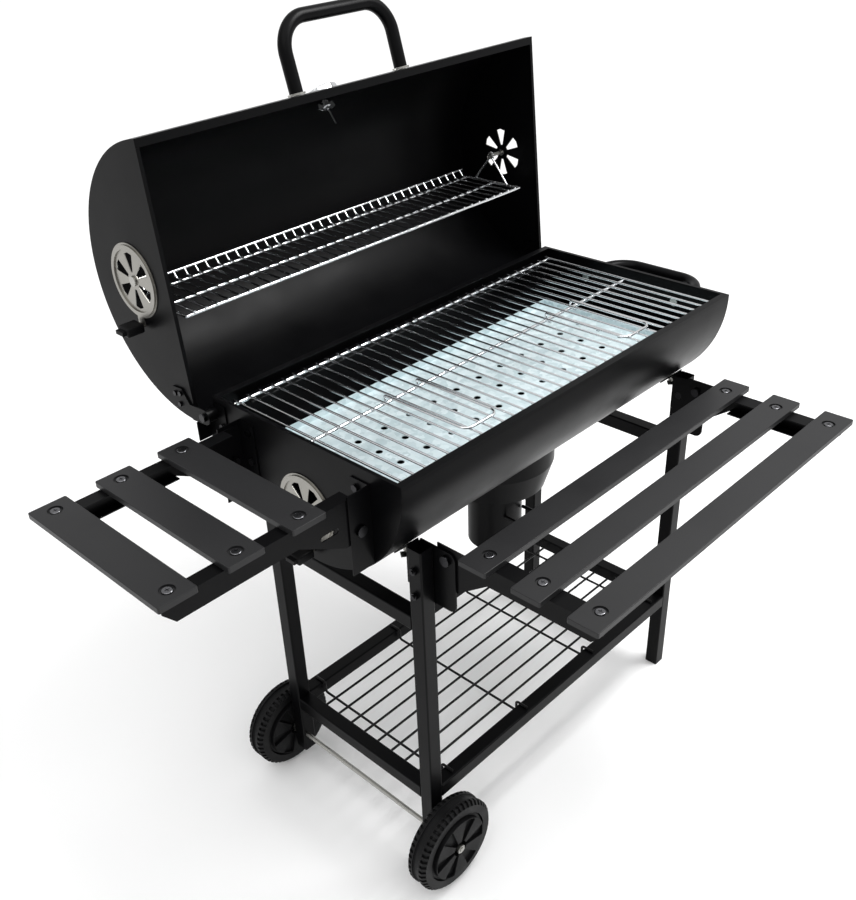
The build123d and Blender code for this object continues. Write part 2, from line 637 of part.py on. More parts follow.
PAN_WALL = 12.0
pan = block(-PAN_HALF_X, PAN_HALF_X, -PAN_HALF_Y, PAN_HALF_Y, PAN_Z, PAN_Z + PAN_WALL)
pan -= block(-PAN_HALF_X + 1.2, PAN_HALF_X - 1.2, -PAN_HALF_Y + 1.2, PAN_HALF_Y - 1.2, PAN_Z + 1.2, PAN_Z + 30)
pan_holes = []
for i in range(12):
    for j in (-1, 0, 1):
        pan_holes.append(disc_z((i - 5.5) * PAN_PITCH_X, j * PAN_PITCH_Y, PAN_Z - 2, PAN_Z + 4, PAN_HOLE_R))
pan = pan.cut(*pan_holes)
nodes["charcoal_pan"] = pan


def grate():
    """Left cooking grate: close wires along Y welded across three rods."""
    x0 = -GRATE_HALF_X
    x1 = -GRATE_SPLIT
    wire_z = GRATE_TOP - GRATE_WIRE_R
    count = int((x1 - x0 - 2 * GRATE_WIRE_R) // GRATE_PITCH)
    first = (x0 + x1) / 2 - count * GRATE_PITCH / 2
    bars = []
    for k in range(count + 1):
        x = first + k * GRATE_PITCH
        bars.append(rod((x, -GRATE_HALF_Y, wire_z), (x, GRATE_HALF_Y, wire_z), GRATE_WIRE_R))
    for y in (GRATE_HALF_Y - 5, 0, -GRATE_HALF_Y + 5):
        bars.append(rod((x0, y, rod_z), (x1, y, rod_z), GRATE_ROD_R))
    return join(bars[0], bars[1:])


grate_left = grate()
nodes["grate_left"] = grate_left
nodes["grate_right"] = mirror_x(grate_left)

# Bail: wire loop lying on the grate, hooked round the middle rod
BAIL_R = 2.0
grate_count = int((GRATE_HALF_X - GRATE_SPLIT - 2 * GRATE_WIRE_R) // GRATE_PITCH)
grate_first = -(GRATE_HALF_X + GRATE_SPLIT) / 2 - grate_count * GRATE_PITCH / 2
BAIL_X = -(grate_first + (grate_count // 2) * GRATE_PITCH)
BAIL_HALF = 1.5 * GRATE_PITCH
bail_z = GRATE_TOP + BAIL_R + 0.4
hook_z = rod_z - GRATE_ROD_R - BAIL_R - 0.25


def bail(cx):
    """Loop from the middle rod towards the front, with a hook at each end."""
    loop_pts = [
        (cx - BAIL_HALF, 0, bail_z),
        (cx - BAIL_HALF, -148, bail_z),
        (cx + BAIL_HALF, -148, bail_z),
        (cx + BAIL_HALF, 0, bail_z),
    ]
    loop = bent_bar(loop_pts, 14, BAIL_R)
    hooks = []
    for s in (-1, 1):
        hx = cx + s * BAIL_HALF
        hook_pts = [(hx, -0.5, bail_z), (hx, 7, bail_z), (hx, 7, hook_z), (hx, -4, hook_z)]
        hooks.append(bent_bar(hook_pts, BAIL_R + 0.6, BAIL_R - 0.1))
    return join(loop, hooks)


nodes["grate_left_bail"] = bail(-BAIL_X)
nodes["grate_right_bail"] = bail(BAIL_X)

# ---------------------------------------------------------------------------
# Warming rack hung in the lid: it stays level while the lid turns round it
# ---------------------------------------------------------------------------
rack_y, rack_pz = opened(RACK_PIVOT_Y, RACK_PIVOT_Z)
rack_z = rack_pz - RACK_DROP
rack_bars = []
cross_pitch = 2 * (RACK_HALF_X - 8) / RACK_SPACES
wire_z = rack_z + RACK_ROD_R + RACK_WIRE_R - 0.4
for k in range(RACK_SPACES + 1):
    x = -RACK_HALF_X + 8 + k * cross_pitch
    rack_bars.append(rod((x, rack_y - RACK_HALF_Y - 3, wire_z), (x, rack_y + RACK_HALF_Y - 8, wire_z), RACK_WIRE_R))
for y in (-RACK_HALF_Y, -10.0, RACK_HALF_Y - 12):
    rack_bars.append(rod((-HANG_X, rack_y + y, rack_z), (HANG_X, rack_y + y, rack_z), RACK_ROD_R))
tip_run = RACK_HALF_Y - 12
tip_y = rack_y + RACK_HALF_Y
tip_z = wire_z + RACK_FENCE
for k in range(RACK_SPACES + 1):
    x = -RACK_HALF_X + 8 + k * cross_pitch
    rack_bars.append(rod((x, rack_y + RACK_HALF_Y - 8.6, wire_z - 0.6), (x, tip_y, tip_z), RACK_WIRE_R))
rack_bars.append(rod((-RACK_HALF_X, tip_y + 1.8, tip_z - 1), (RACK_HALF_X, tip_y + 1.8, tip_z - 1), RACK_ROD_R))

# Hangers: a V of wire at each end whose eye rides on the damper pin
for side in (-1, 1):
    hx = side * HANG_X
    for y in (-40.0, 40.0):
        rack_bars.append(rod((hx, rack_y, rack_pz), (hx, rack_y + y, rack_z - 1.0), 2.0))
    rack_bars.append(rod((hx, rack_y - RACK_HALF_Y - 1, rack_z), (hx, rack_y + tip_run, rack_z), 2.0))
    rack_bars.append(disc_x(hx - 2, hx + 2, rack_y, rack_pz, 6.5))
warming_rack = join(rack_bars[0], rack_bars[1:])
for side in (-1, 1):
    hx = side * HANG_X
    warming_rack -= disc_x(hx - 3, hx + 3, rack_y, rack_pz, 3.06)
nodes["warming_rack"] = warming_rack

# ---------------------------------------------------------------------------
# Slats: pressed sheet with turned-down edges, round ends to the corners
# ---------------------------------------------------------------------------
def slat(length, width, top, holes):
    """Slat along X, open underneath, with a dished screw hole at +-holes."""
    shell = block(-length / 2, length / 2, -width / 2, width / 2, top - SLAT_DROP, top)
    shell = fillet(shell.edges().filter_by(Axis.Z), 2.5)
    shell = fillet(shell.faces().sort_by(Axis.Z)[-1].edges(), 0.8)
    cavity = block(
        -length / 2 + SLAT_SHEET,
        length / 2 - SLAT_SHEET,
        -width / 2 + SLAT_SHEET,
        width / 2 - SLAT_SHEET,
        top - SLAT_DROP - 5,
        top - SLAT_SHEET,
    )
    shell -= fillet(cavity.edges().filter_by(Axis.Z), 1.0)
    for s in (-1, 1):
        x = s * holes
        floor_z = top - DISH_DEPTH
        shell = shell.fuse(disc_z(x, 0, floor_z - SLAT_SHEET, top - 0.1, DISH_R + SLAT_SHEET))
        shell -= disc_z(x, 0, floor_z, top + 5, DISH_R)
        shell -= disc_z(x, 0, top - 20, top + 5, 3.2)
    return shell


def slat_screw(x, y, top):
    """Domed machine screw in its dish, down through the slat into the arm."""
    seat = top - DISH_DEPTH + 0.2
    head = screw_head(x, y, seat, SLAT_SCREW_R, SLAT_SCREW_H)
    return head.fuse(disc_z(x, y, top - 14, seat + 0.3, 3.0))


# Side shelf ---------------------------------------------------------------
SIDE_ARM_Y = 131.0
SIDE_SCREW_Y = 120.0
side_arm_top = SIDE_TOP - SLAT_DROP - SEAM
side_slats = []
side_screws = []
for cx in SIDE_SLAT_X:
    one = slat(2 * SIDE_HALF_Y, SIDE_SLAT_W, SIDE_TOP, SIDE_SCREW_Y)
    side_slats.append(Pos(cx, 0, 0) * Rot(0, 0, 90) * one)
    for sy in (-1, 1):
        side_screws.append(slat_screw(cx, sy * SIDE_SCREW_Y, SIDE_TOP))
nodes["side_shelf_slats"] = Compound(children=side_slats)
nodes["side_shelf_screws"] = Compound(children=side_screws)

SIDE_ARM_END = SIDE_SLAT_X[0] - 18.0
side_profile = make_face(
    Polyline(
        (SIDE_PIVOT_X + 15, side_arm_top),
        (SIDE_ARM_END, side_arm_top),
        (SIDE_ARM_END, side_arm_top - 12),
        (SIDE_ARM_END + 16, side_arm_top - ARM_DEPTH),
        (-505, side_arm_top - ARM_DEPTH),
        (-430, SIDE_PIVOT_Z - 16),
        (SIDE_PIVOT_X + 8, SIDE_PIVOT_Z - 16),
        (SIDE_PIVOT_X + 15, SIDE_PIVOT_Z - 8),
        close=True,
    )
)
side_plane = Plane(origin=(0, -SIDE_ARM_Y, 0), x_dir=(1, 0, 0), z_dir=(0, -1, 0))
side_arm = extrude(side_plane * side_profile, -ARM_SHEET)
side_arm = side_arm.fuse(
    block(SIDE_ARM_END, -BOWL_HALF_X - 30, -SIDE_ARM_Y, -SIDE_ARM_Y + ARM_FLANGE, side_arm_top - ARM_SHEET, side_arm_top),
    block(SIDE_ARM_END + 16, -505, -SIDE_ARM_Y, -SIDE_ARM_Y + ARM_FLANGE - 6, side_arm_top - ARM_DEPTH, side_arm_top - ARM_DEPTH + ARM_SHEET),
)
for cx in SIDE_SLAT_X:
    side_arm -= disc_z(cx, -SIDE_SCREW_Y, side_arm_top - 6, side_arm_top + 3, 3.2)
side_arm -= disc_y(SIDE_PIVOT_X, -SIDE_ARM_Y - 5, -SIDE_ARM_Y + 5, SIDE_PIVOT_Z, 4.06)
slot = block(-470, -440, -SIDE_ARM_Y - 5, -SIDE_ARM_Y + 5, side_arm_top - 40, side_arm_top - 32)
side_arm -= fillet(slot.edges().filter_by(Axis.Y), 3.9)
nodes["side_shelf_arms"] = Compound(children=[side_arm, mirror_y(side_arm)])

# Angle brackets on the bowl end, outside the arms, with pivot and stop bolts
flange_y = -SIDE_ARM_Y - SEAM
side_bracket = block(-424, -bracket_x, flange_y - 2, flange_y, RIM_Z - 140, RIM_Z - 18)
side_bracket = side_bracket.fuse(block(-bracket_x - 2, -bracket_x, flange_y - 2, flange_y + 32, RIM_Z - 140, RIM_Z - 18))
side_bracket -= block(-bracket_x - 2, -bracket_x, flange_y + 12, flange_y + 40, RIM_Z - 150, RIM_Z - 110)
side_bracket -= disc_y(SIDE_PIVOT_X, flange_y - 6, flange_y + 1, SIDE_PIVOT_Z, 4.06)
side_bolts = []
for bz in (RIM_Z - 31, RIM_Z - 78):
    by = flange_y + 22
    side_bracket -= disc_x(-420, -380, by, bz, 3.2)
    for sy in (-1, 1):
        bowl_end_left -= disc_x(-BOWL_HALF_X - 6, -BOWL_HALF_X + 6, sy * by, bz, 3.2)
    side_bolts.append(hex_bolt_x(-bracket_x - 2.2, by, bz, -1, 4.0, 10.0, 8.0, 2.9))
nodes["side_shelf_brackets"] = Compound(children=[side_bracket, mirror_y(side_bracket)])
shelf_bolts = side_bolts + [mirror_y(b) for b in side_bolts]
side_pivot = disc_y(SIDE_PIVOT_X, flange_y - 2.3, -SIDE_ARM_Y + 8, SIDE_PIVOT_Z, 4.0)
side_pivot = side_pivot.fuse(
    disc_y(SIDE_PIVOT_X, flange_y - 6.5, flange_y - 2.3, SIDE_PIVOT_Z, 8),
    disc_y(SIDE_PIVOT_X, -SIDE_ARM_Y + 2.4, -SIDE_ARM_Y + 8, SIDE_PIVOT_Z, 7),
)
shelf_pivots = [side_pivot, mirror_y(side_pivot)]

# Front shelf ----------------------------------------------------------------
FRONT_ARM_X = 310.0
FRONT_SCREW_X = 294.0
front_arm_top = FRONT_TOP - SLAT_DROP - SEAM
front_slats = []
front_screws = []
for cy in FRONT_SLAT_Y:
    front_slats.append(Pos(0, cy, 0) * slat(2 * FRONT_HALF_X, FRONT_SLAT_W, FRONT_TOP, FRONT_SCREW_X))
    for sx in (-1, 1):
        front_screws.append(slat_screw(sx * FRONT_SCREW_X, cy, FRONT_TOP))
nodes["front_shelf_slats"] = Compound(children=front_slats)
nodes["front_shelf_screws"] = Compound(children=front_screws)

FRONT_ARM_END = FRONT_SLAT_Y[2] - 16.0
front_root_y = -LEG_Y - half - 4.0
front_profile = make_face(
    Polyline(
        (front_root_y, front_arm_top),
        (FRONT_ARM_END, front_arm_top),
        (FRONT_ARM_END, front_arm_top - 12),
        (FRONT_ARM_END + 16, front_arm_top - ARM_DEPTH),
        (-262, front_arm_top - ARM_DEPTH),
        (-205, front_arm_top - 72),
        (front_root_y - 14, front_arm_top - 72),
        (front_root_y, front_arm_top - 58),
        close=True,
    )
)
front_plane = Plane(origin=(-FRONT_ARM_X, 0, 0), x_dir=(0, 1, 0), z_dir=(1, 0, 0))
front_arm = extrude(front_plane * front_profile, ARM_SHEET)
front_arm = front_arm.fuse(
    block(-FRONT_ARM_X, -FRONT_ARM_X + 28, FRONT_ARM_END, -224, front_arm_top - ARM_SHEET, front_arm_top),
    block(-FRONT_ARM_X, -FRONT_ARM_X + 22, FRONT_ARM_END + 16, -262, front_arm_top - ARM_DEPTH, front_arm_top - ARM_DEPTH + ARM_SHEET),
)
for cy in FRONT_SLAT_Y:
    front_arm -= disc_z(-FRONT_SCREW_X, cy, front_arm_top - 6, front_arm_top + 3, 3.2)
front_arm -= disc_x(-FRONT_ARM_X - 5, -FRONT_ARM_X + 5, FRONT_PIVOT_Y, FRONT_PIVOT_Z, 4.06)
nodes["front_shelf_arms"] = Compound(children=[front_arm, mirror_x(front_arm)])

# Flat brackets on the inner faces of the front legs carry the arm pivots
bx = -LEG_X + half + SEAM
front_bracket = block(bx, bx + 2.5, -LEG_Y + half, FRONT_PIVOT_Y - 16, FRONT_PIVOT_Z - 84, FRONT_PIVOT_Z + 14)
front_bracket = fillet(front_bracket.edges().filter_by(Axis.X).group_by(Axis.Y)[0], 12)
front_bracket -= disc_x(bx - 5, bx + 5, FRONT_PIVOT_Y, FRONT_PIVOT_Z, 4.06)
front_bolts = []
for bz in FRONT_BOLT_Z:
    # Low bolt heads sink into the bracket so that the folding arm clears them
    front_bracket -= disc_x(bx - 5, bx + 5, -LEG_Y, bz, 3.2)
    front_bracket -= disc_x(bx + 1.2, bx + 5, -LEG_Y, bz, 6.3)
    bolt = disc_x(-LEG_X - half - 7, bx + 2.4, -LEG_Y, bz, 2.9)
    bolt = bolt.fuse(
        disc_x(bx + 1.4, bx + 2.4, -LEG_Y, bz, 6.0),
        hex_bolt_x(-LEG_X - half - 0.2, -LEG_Y, bz, -1, 5.0, 10.0, 1.0, 2.9),
    )
    front_bolts.append(bolt)
nodes["front_shelf_brackets"] = Compound(children=[front_bracket, mirror_x(front_bracket)])
shelf_bolts += front_bolts + [mirror_x(b) for b in front_bolts]
nodes["shelf_bolts"] = Compound(children=shelf_bolts)
front_pivot = disc_x(bx - 0.3, -FRONT_ARM_X + 8, FRONT_PIVOT_Y, FRONT_PIVOT_Z, 4.0)
front_pivot = front_pivot.fuse(
    disc_x(bx - 4.5, bx - 0.3, FRONT_PIVOT_Y, FRONT_PIVOT_Z, 8),
    disc_x(-FRONT_ARM_X + 2.4, -FRONT_ARM_X + 8, FRONT_PIVOT_Y, FRONT_PIVOT_Z, 7),
)
shelf_pivots += [front_pivot, mirror_x(front_pivot)]
nodes["shelf_pivots"] = Compound(children=shelf_pivots)

# ---------------------------------------------------------------------------
# Wire shelf hooked over the lower rails
# ---------------------------------------------------------------------------
WIRE_R = 2.2
shelf_z = LOW_RAIL_Z + 10.0
wire_bars = []
reach_x = LEG_X - half - 8
for k in range(8):
    y = -112 + 32 * k
    wire_bars.append(rod((-reach_x, y, shelf_z), (reach_x, y, shelf_z), WIRE_R))
cross_z = shelf_z - 2 * WIRE_R + 0.5
hook_y = LEG_Y - half - 5
over_z = LOW_RAIL_Z + TUBE + WIRE_R + 0.3
for x in (-282.0, -94.0, 94.0, 282.0):
    pts = [
        (x, -LEG_Y - 6, over_z),
        (x, -hook_y, over_z),
        (x, -hook_y, cross_z),
        (x, hook_y, cross_z),
        (x, hook_y, over_z),
        (x, LEG_Y + 6, over_z),
    ]
    wire_bars.append(bent_bar(pts, 5.0, WIRE_R))
nodes["wire_shelf"] = join(wire_bars[0], wire_bars[1:])

# ---------------------------------------------------------------------------
# Pull handle on the right bowl end
# ---------------------------------------------------------------------------
PULL_Z = 738.0
PULL_HALF = 92.0
pull_in = BOWL_HALF_X + 3.4
pull_out = BOWL_HALF_X + 96.0
pull_pts = [
    (pull_in, -PULL_HALF, PULL_Z),
    (pull_out, -PULL_HALF, PULL_Z),
    (pull_out, PULL_HALF, PULL_Z),
    (pull_in, PULL_HALF, PULL_Z),
]
nodes["pull_handle"] = bent_bar(pull_pts, HANDLE_BEND, HANDLE_TUBE_R, HANDLE_TUBE_R - 1.5)
pull_feet = []
pull_bolts = []
for sy in (-1, 1):
    y = sy * PULL_HALF
    foot = disc_x(BOWL_HALF_X + 0.3, pull_in - 0.3, y, PULL_Z, HANDLE_TUBE_R + 3)
    pull_feet.append(foot - disc_x(BOWL_HALF_X - 5, pull_in + 5, y, PULL_Z, 3.3))
    bolt = disc_x(end_face_x - 5, end_face_x - 0.3, y, PULL_Z, 7)
    bolt = bolt.fuse(
        disc_x(end_face_x - 5, pull_in + 12, y, PULL_Z, 3),
        disc_x(pull_in + 4, pull_in + 12, y, PULL_Z, HANDLE_TUBE_R - 1.8),
    )
    pull_bolts.append(bolt)
    bowl_end_right -= disc_x(BOWL_HALF_X - 8, BOWL_HALF_X + 8, y, PULL_Z, 3.3)
nodes["pull_handle_fixings"] = Compound(children=pull_feet + pull_bolts)
nodes["bowl_end_left"] = bowl_end_left
nodes["bowl_end_right"] = bowl_end_right

# ---------------------------------------------------------------------------
# Ash catcher: fixed funnel under the bowl and a can that drops away from it
# ---------------------------------------------------------------------------
FUNNEL_BOTTOM = 522.0
funnel_profile = make_face(
    Polyline(
        (ASH_TUBE_R + 2.0, FUNNEL_BOTTOM - 8),
        (ASH_TUBE_R + 4.0, FUNNEL_BOTTOM - 8),
        (ASH_TUBE_R + 4.0, FUNNEL_BOTTOM),
        (84.0, FUNNEL_BOTTOM),
        (ASH_COLLAR_R, 568.0),
        (ASH_COLLAR_R, 640.0),
        (ASH_COLLAR_R - 1.5, 640.0),
        (ASH_COLLAR_R - 1.5, 568.5),
        (82.8, FUNNEL_BOTTOM + 1.5),
        (ASH_TUBE_R + 2.0, FUNNEL_BOTTOM + 1.5),
        close=True,
    )
)
funnel = revolve(Plane.XZ * funnel_profile, Axis.Z)
funnel = Pos(ASH_X, 0, 0) * funnel
funnel -= disc_x(-400, 400, 0, BOWL_CZ, BOWL_R + 0.4)
nodes["ash_funnel"] = funnel

CAN_TOP = FUNNEL_BOTTOM - 1.0
CAN_BOTTOM = 400.0
can = disc_z(ASH_X, 0, CAN_BOTTOM, CAN_TOP, ASH_TUBE_R)
can = fillet(can.edges().group_by(Axis.Z)[0], 5.0)
can -= disc_z(ASH_X, 0, CAN_BOTTOM + 1.2, CAN_TOP + 5, ASH_TUBE_R - 1.2)
can_bead = disc_z(ASH_X, 0, CAN_TOP - 22, CAN_TOP - 18, ASH_TUBE_R + 2.5) - disc_z(ASH_X, 0, 300, 600, ASH_TUBE_R - 0.6)
nodes["ash_can"] = can.fuse(can_bead)
tail_y = -math.sqrt(ASH_TUBE_R ** 2 - 18 ** 2) - 0.3
can_handle_pts = [
    (ASH_X - 22, tail_y, 470),
    (ASH_X - 22, -ASH_TUBE_R - 30, 470),
    (ASH_X + 22, -ASH_TUBE_R - 30, 470),
    (ASH_X + 22, tail_y, 470),
]
nodes["ash_can_handle"] = bent_bar(can_handle_pts, 10, 3.0)

# ---------------------------------------------------------------------------
# Axle and wheels at the left end
# ---------------------------------------------------------------------------
axle_end = WHEEL_OUT_Y + 9.0
axle = disc_y(AXLE_X, -axle_end, axle_end, WHEEL_R, AXLE_R)
nodes["axle_rod"] = axle
hub_in = WHEEL_OUT_Y - WHEEL_W
nuts = []
washers = []
for s in (-1, 1):
    nut_base = s * (WHEEL_OUT_Y + 0.4)
    nut = Plane(origin=(AXLE_X, nut_base, WHEEL_R), z_dir=(0, s, 0)) * extrude(RegularPolygon(7, 6, major_radius=False), 7)
    nuts.append(nut - disc_y(AXLE_X, -300, 300, WHEEL_R, AXLE_R + 0.04))
    spacer = disc_y(AXLE_X, s * (LEG_Y + half + 0.3), s * (hub_in - 0.4), WHEEL_R, 9)
    washers.append(spacer - disc_y(AXLE_X, -300, 300, WHEEL_R, AXLE_R + 0.04))
nodes["axle_fittings"] = Compound(children=nuts + washers)


def wheel(out_y):
    """Tyre and spoked hub of the front wheel, outer face at y = out_y."""
    mid = out_y + WHEEL_W / 2
    centre = Plane(origin=(AXLE_X, mid, WHEEL_R), x_dir=(1, 0, 0), z_dir=(0, -1, 0))
    w = WHEEL_W / 2
    section = make_face(
        Polyline(
            (WHEEL_R - 24, -w + 3),
            (WHEEL_R - 8, -w),
            (WHEEL_R - 2, -w + 6),
            (WHEEL_R, -w + 12),
            (WHEEL_R, w - 12),
            (WHEEL_R - 2, w - 6),
            (WHEEL_R - 8, w),
            (WHEEL_R - 24, w - 3),
            close=True,
        )
    )
    tyre = revolve(Plane.XZ * section, Axis.Z)
    notches = []
    for k in range(30):
        for s in (-1, 1):
            a = 12.0 * k + (6.0 if s > 0 else 0.0)
            notch = Rot(0, 0, a) * Pos(WHEEL_R, 0, s * (w - 4)) * Box(8, 5, 13)
            notches.append(notch)
    tyre = tyre.cut(*notches)
    hub_outer = WHEEL_R - 24 - SEAM
    rim = Cylinder(hub_outer, WHEEL_W - 8) - Cylinder(hub_outer - 4, WHEEL_W + 2)
    boss = Cylinder(13, WHEEL_W)
    web = Cylinder(hub_outer - 3, 5)
    ribs = []
    for k in range(6):
        ribs.append(Rot(0, 0, 60 * k) * Pos(34, 0, 0) * Box(50, 9, WHEEL_W - 14))
    windows = []
    for k in range(6):
        windows.append(Rot(0, 0, 60 * k + 30) * Pos(37, 0, 0) * Cylinder(10, 20))
    hub = join(rim, [boss, web.cut(*windows)] + ribs) - Cylinder(AXLE_R + HUB_CLEAR, WHEEL_W + 20)
    return centre * tyre, centre * hub


tyre_front, hub_front = wheel(-WHEEL_OUT_Y)
nodes["wheel_front_tyre"] = tyre_front
nodes["wheel_front_hub"] = hub_front
nodes["wheel_back_tyre"] = mirror_y(tyre_front)
nodes["wheel_back_hub"] = mirror_y(hub_front)

# ---------------------------------------------------------------------------
# Datum: the origin is the middle of the bottom of the whole bounding box
# ---------------------------------------------------------------------------
low = [1e9, 1e9, 1e9]
high = [-1e9, -1e9, -1e9]
for shape in nodes.values():
    box = shape.bounding_box()
    low = [min(a, b) for a, b in zip(low, (box.min.X, box.min.Y, box.min.Z))]
    high = [max(a, b) for a, b in zip(high, (box.max.X, box.max.Y, box.max.Z))]
datum = (-(low[0] + high[0]) / 2, -(low[1] + high[1]) / 2, -low[2])
print("datum shift", [round(v, 3) for v in datum], "nodes", len(nodes))
print("size", [round(h - l, 2) for l, h in zip(low, high)])
for name, shape in nodes.items():
    placed = Pos(*datum) * shape
    placed.label = name
    export_step(placed, "parts/" + name + ".step")
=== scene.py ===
import math

import bpy
from mathutils import Matrix, Vector


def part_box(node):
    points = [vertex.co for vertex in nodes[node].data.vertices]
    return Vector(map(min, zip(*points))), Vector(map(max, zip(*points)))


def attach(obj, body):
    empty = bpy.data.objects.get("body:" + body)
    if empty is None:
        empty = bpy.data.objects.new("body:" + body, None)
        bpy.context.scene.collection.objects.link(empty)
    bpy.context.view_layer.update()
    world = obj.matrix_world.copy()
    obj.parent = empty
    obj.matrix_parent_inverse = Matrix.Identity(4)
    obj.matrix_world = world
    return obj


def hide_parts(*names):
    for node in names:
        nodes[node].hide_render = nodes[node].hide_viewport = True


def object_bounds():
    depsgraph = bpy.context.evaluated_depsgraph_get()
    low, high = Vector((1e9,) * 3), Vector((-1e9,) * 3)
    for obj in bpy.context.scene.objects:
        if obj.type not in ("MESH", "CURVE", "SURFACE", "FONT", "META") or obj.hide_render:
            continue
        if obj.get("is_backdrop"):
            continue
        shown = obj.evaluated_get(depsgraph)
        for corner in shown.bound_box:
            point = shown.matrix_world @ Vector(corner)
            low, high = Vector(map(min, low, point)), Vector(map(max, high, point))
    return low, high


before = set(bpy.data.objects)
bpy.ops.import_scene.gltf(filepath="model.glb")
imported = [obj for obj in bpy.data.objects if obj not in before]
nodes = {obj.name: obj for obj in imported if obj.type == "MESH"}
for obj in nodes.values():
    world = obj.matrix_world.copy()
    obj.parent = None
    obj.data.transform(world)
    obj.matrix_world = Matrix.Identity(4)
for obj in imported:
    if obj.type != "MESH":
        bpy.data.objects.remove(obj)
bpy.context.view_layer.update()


# Bowl: a half-barrel of 1.2 mm rolled steel with two pressed end plates, all
# spot welded and sprayed with satin black powder coat, then baked.
def linear(hex_code):
    """Linear colour from an sRGB hex code."""
    parts = [int(hex_code[i : i + 2], 16) / 255 for i in (1, 3, 5)]
    return [c / 12.92 if c <= 0.04045 else ((c + 0.055) / 1.055) ** 2.4 for c in parts] + [1.0]


def add(finish, kind, inputs=None, **settings):
    """Adds one shader node with its settings, values and links."""
    node = finish.node_tree.nodes.new(kind)
    for key, value in settings.items():
        setattr(node, key, value)
    for socket, value in (inputs or {}).items():
        if isinstance(value, bpy.types.NodeSocket):
            finish.node_tree.links.new(value, node.inputs[socket])
        else:
            node.inputs[socket].default_value = value
    return node


def new_finish(name):
    """An empty node material."""
    finish = bpy.data.materials.new(name)
    finish.use_nodes = True
    finish.node_tree.nodes.clear()
    return finish


def dress(finish, *names):
    """Gives CAD nodes this finish in place of their own."""
    for name in names:
        piece = nodes[name]
        piece.data.materials.clear()
        piece.data.materials.append(finish)


def powder_coat(name, dark, light, rough_low, rough_high, specular):
    """Baked powder, whose fine orange peel and cloudy gloss blur every highlight.

    The peel is about 1.5 mm across and the clouds 110 mm. The colour's grain is drawn
    0.5 mm across, coarser than life, so that it shows.
    """
    finish = new_finish(name)
    place = add(finish, "ShaderNodeTexCoord").outputs["Object"]
    peel = add(finish, "ShaderNodeTexNoise", {"Vector": place, "Scale": 650.0, "Detail": 2.0})
    cloud = add(
        finish,
        "ShaderNodeTexNoise",
        {"Vector": place, "Scale": 9.0, "Detail": 4.0, "Roughness": 0.6},
    )
    grain = add(finish, "ShaderNodeTexNoise", {"Vector": place, "Scale": 2200.0, "Detail": 1.0})
    shade = add(finish, "ShaderNodeMix", {"Factor": grain.outputs["Fac"]}, data_type="RGBA")
    shade.inputs[6].default_value = linear(dark)
    shade.inputs[7].default_value = linear(light)
    gloss = add(
        finish,
        "ShaderNodeMapRange",
        {
            "Value": cloud.outputs["Fac"],
            "From Min": 0.3,
            "From Max": 0.7,
            "To Min": rough_low,
            "To Max": rough_high,
        },
    )
    bump = add(
        finish,
        "ShaderNodeBump",
        {"Height": peel.outputs["Fac"], "Strength": 0.25, "Distance": 0.00012},
    )
    shader = add(
        finish,
        "ShaderNodeBsdfPrincipled",
        {
            "Base Color": shade.outputs[2],
            "Roughness": gloss.outputs["Result"],
            "IOR": 1.5,
            "Specular IOR Level": specular,
            "Normal": bump.outputs["Normal"],
        },
    )
    add(finish, "ShaderNodeOutputMaterial", {"Surface": shader.outputs[0]})
    return finish


satin_black = powder_coat("satin_black_powder_coat", "#030304", "#070708", 0.3, 0.4, 0.08)
dress(satin_black, "bowl_shell", "bowl_end_left", "bowl_end_right", "bowl_ledges", "hinge_brackets")

# Lid: the matching half-barrel cap in the same powder coat, with hinge leaves
# screwed to its ends and a bent tube handle bolted to the front. The tube
# handle on the bowl's right end is bent and coated like it.
dress(satin_black, "lid_shell", "lid_end_left", "lid_end_right", "lid_hinge_leaves")
dress(satin_black, "lid_handle", "pull_handle")

# Stand and ash catcher: welded square tube, saddle strips, folding shelf arms
# and their brackets, and the sheet funnel and can, coated black one by one.
dress(satin_black, "legs", "long_rails", "cross_rails", "bowl_saddles", "side_shelf_brackets")
dress(satin_black, "front_shelf_brackets", "side_shelf_arms", "front_shelf_arms")
dress(satin_black, "ash_funnel", "ash_can")

# Shelf slats: pressed steel strips in a greyer, fine-texture coat, which
# catches more light on their flat tops than the satin black does.
slat_grey = powder_coat("fine_texture_slat_coat", "#171718", "#262627", 0.34, 0.46, 0.24)
dress(slat_grey, "side_shelf_slats", "front_shelf_slats")

# Wire shelf and the can's handle: drawn steel wire, spot welded into a mat or
# bent, under a thin black coat that keeps a narrow highlight on each wire.
wire_black = powder_coat("black_coated_wire", "#070708", "#0f0f10", 0.28, 0.4, 0.2)
dress(wire_black, "wire_shelf", "ash_can_handle")


